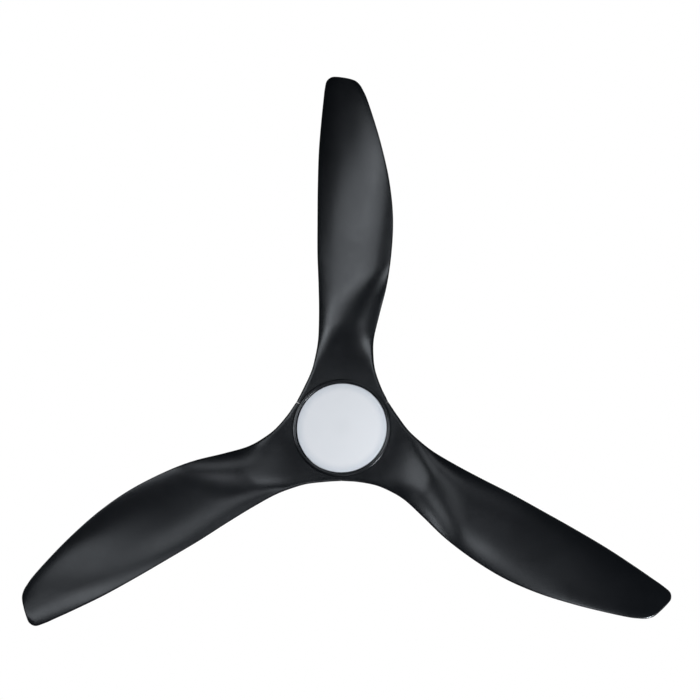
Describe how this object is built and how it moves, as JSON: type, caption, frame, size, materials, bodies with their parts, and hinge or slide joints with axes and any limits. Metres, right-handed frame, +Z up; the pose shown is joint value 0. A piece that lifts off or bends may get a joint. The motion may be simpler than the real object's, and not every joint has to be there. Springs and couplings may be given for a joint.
{
  "type": "ceiling fan with light",
  "caption": "Ceiling fan with moulded black blades that merge into one hub round a flush opal light, hung from a ceiling bracket on a ball and short rod.",
  "frame": {"origin": "middle of the hanging bracket's top face, on the ceiling", "axes": "+Z up, away from the room; +Y along the first blade at rest; the blades turn about Z"},
  "size_m": [1.1453, 1.0096, 0.2552],
  "materials": {
    "black_plastic": "satin moulded",
    "black_paint": "satin powder coat",
    "zinc_steel": "zinc plated",
    "bearing_steel": "ground",
    "cast_alloy": "as cast",
    "grey_nylon": "matt moulded",
    "rubber": "matt",
    "copper_winding": "enamelled copper wire",
    "lamination_steel": "stacked sheet",
    "magnet": "bonded ferrite",
    "circuit_board": "solder mask",
    "white_plastic": "satin moulded",
    "opal_diffuser": "opal acrylic, satin",
    "lead_sleeve": "flexible sleeve"
  },
  "bodies": {
    "ceiling_fitting": {"hanging_bracket": "zinc_steel", "canopy": "black_paint", "canopy_screw_1": "black_paint", "canopy_screw_2": "black_paint", "receiver_module": "grey_nylon", "terminal_block": "white_plastic", "terminal_screw_1": "zinc_steel", "terminal_screw_2": "zinc_steel", "terminal_screw_3": "zinc_steel", "earth_screw": "zinc_steel", "supply_lead": "lead_sleeve", "canopy_lead": "lead_sleeve"},
    "hanging_frame": {"hanger_ball": "grey_nylon", "ball_pin": "bearing_steel", "downrod": "black_paint", "shaft_coupling": "cast_alloy", "coupling_screw_1": "zinc_steel", "coupling_screw_2": "zinc_steel", "clevis_pin": "zinc_steel", "clevis_clip": "bearing_steel", "coupling_cover": "black_plastic", "cover_grommet": "rubber", "motor_shaft": "bearing_steel", "lower_spacer": "zinc_steel", "upper_bearing_inner": "bearing_steel", "lower_bearing_inner": "bearing_steel", "stator_core": "lamination_steel", "stator_winding": "copper_winding", "motor_board": "circuit_board", "light_mount_plate": "zinc_steel", "shaft_nut": "zinc_steel", "light_housing": "white_plastic", "light_screw_1": "zinc_steel", "light_screw_2": "zinc_steel", "light_screw_3": "zinc_steel", "led_board": "white_plastic", "led_driver": "white_plastic", "trim_ring": "black_plastic", "rod_lead": "lead_sleeve"},
    "rotor": {"rotor_housing_top": "black_paint", "rotor_housing_bottom": "black_paint", "magnet_ring": "magnet", "upper_bearing_outer": "bearing_steel", "lower_bearing_outer": "bearing_steel", "housing_screw_1": "zinc_steel", "housing_screw_2": "zinc_steel", "housing_screw_3": "zinc_steel", "blade_1": "black_plastic", "blade_2": "black_plastic", "blade_3": "black_plastic", "blade_screw_1": "zinc_steel", "blade_screw_2": "zinc_steel", "blade_screw_3": "zinc_steel", "blade_screw_4": "zinc_steel", "blade_screw_5": "zinc_steel", "blade_screw_6": "zinc_steel"},
    "upper_bearing_balls": {"upper_ball_cage": "bearing_steel"},
    "lower_bearing_balls": {"lower_ball_cage": "bearing_steel"},
    "diffuser": {"diffuser": "opal_diffuser"}
  },
  "joints": [
    {"name": "hanger_swing", "type": "hinge", "parent": "ceiling_fitting", "child": "hanging_frame", "pos_m": [0, 0, -0.038], "axis": [1, 0, 0], "range_deg": [-8, 8]},
    {"name": "rotor_spin", "type": "hinge", "parent": "hanging_frame", "child": "rotor", "pos_m": [0, 0, -0.1676], "axis": [0, 0, 1], "continuous": true},
    {"name": "upper_bearing_roll", "type": "hinge", "parent": "hanging_frame", "child": "upper_bearing_balls", "pos_m": [0, 0, -0.1484], "axis": [0, 0, 1], "continuous": true},
    {"name": "lower_bearing_roll", "type": "hinge", "parent": "hanging_frame", "child": "lower_bearing_balls", "pos_m": [0, 0, -0.1868], "axis": [0, 0, 1], "continuous": true},
    {"name": "diffuser_twist", "type": "hinge", "parent": "hanging_frame", "child": "diffuser", "pos_m": [0, 0, -0.225], "axis": [0, 0, 1], "range_deg": [0, 45]}
  ],
  "couplings": [
    {"joint": "upper_bearing_roll", "follows": "rotor_spin", "ratio": 0.604},
    {"joint": "lower_bearing_roll", "follows": "rotor_spin", "ratio": 0.604}
  ]
}
